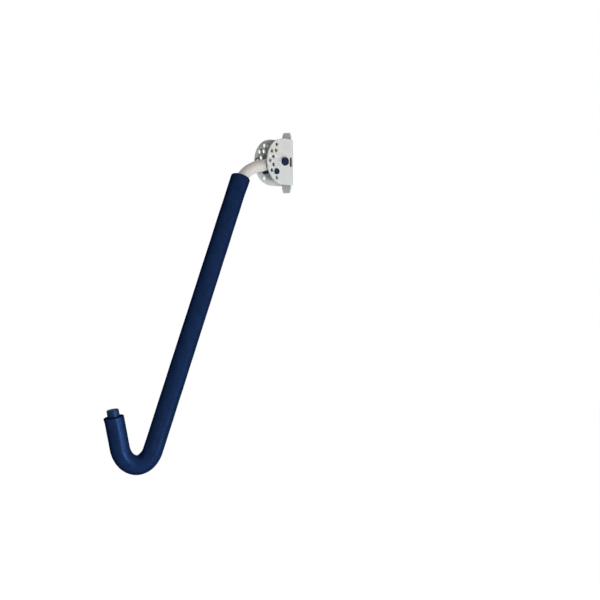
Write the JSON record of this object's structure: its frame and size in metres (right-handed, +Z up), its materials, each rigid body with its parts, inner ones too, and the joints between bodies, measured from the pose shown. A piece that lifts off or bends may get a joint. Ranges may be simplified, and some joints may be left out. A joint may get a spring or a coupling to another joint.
{
  "type": "wall rack arm",
  "caption": "Padded J-shaped hook arm that pivots in a folded steel wall bracket, with a pull-out pin that sets its slope in arcs of index holes.",
  "frame": {"origin": "on the wall face of the bracket, midway between its cheeks and level with the pivot, which is the middle of the screw pattern", "axes": "+Y into the wall, so the arm reaches out along -Y; +Z up; +X along the wall, parallel to the pivot, towards the bolt head and the pin head"},
  "size_m": [0.0619, 0.5167, 0.7129],
  "materials": {
    "bracket_plate": "light grey zinc plate, satin",
    "arm_finish": "light zinc plate on drawn tube, satin",
    "plated_washer": "zinc plate",
    "dark_fastener": "blackened steel, low sheen",
    "bright_steel": "bare bright steel",
    "white_nylon": "natural nylon",
    "navy_foam": "closed-cell foam skin, matt with a soft sheen",
    "dark_cap": "soft moulded plastic, matt"
  },
  "bodies": {
    "bracket": {"wall_bracket": "bracket_plate", "pivot_bolt": "dark_fastener", "head_washer": "plated_washer", "nut_washer": "plated_washer", "pivot_nut": "dark_fastener", "nut_insert": "white_nylon", "head_side_ring": "white_nylon", "nut_side_ring": "white_nylon"},
    "arm": {"pivot_sleeve": "arm_finish", "arm_tube": "arm_finish", "foam_sleeve": "navy_foam", "end_cap": "dark_cap"},
    "pin": {"lock_pin": "dark_fastener", "detent_ball": "bright_steel", "detent_spring": "bright_steel"}
  },
  "joints": [
    {"name": "arm_swing", "type": "hinge", "parent": "bracket", "child": "arm", "pos_m": [0, -0.0325, 0], "axis": [-1, 0, 0], "range_deg": [0, 95]},
    {"name": "pin_pull", "type": "slide", "parent": "bracket", "child": "pin", "axis": [1, 0, 0], "range_m": [0, 0.06]}
  ]
}
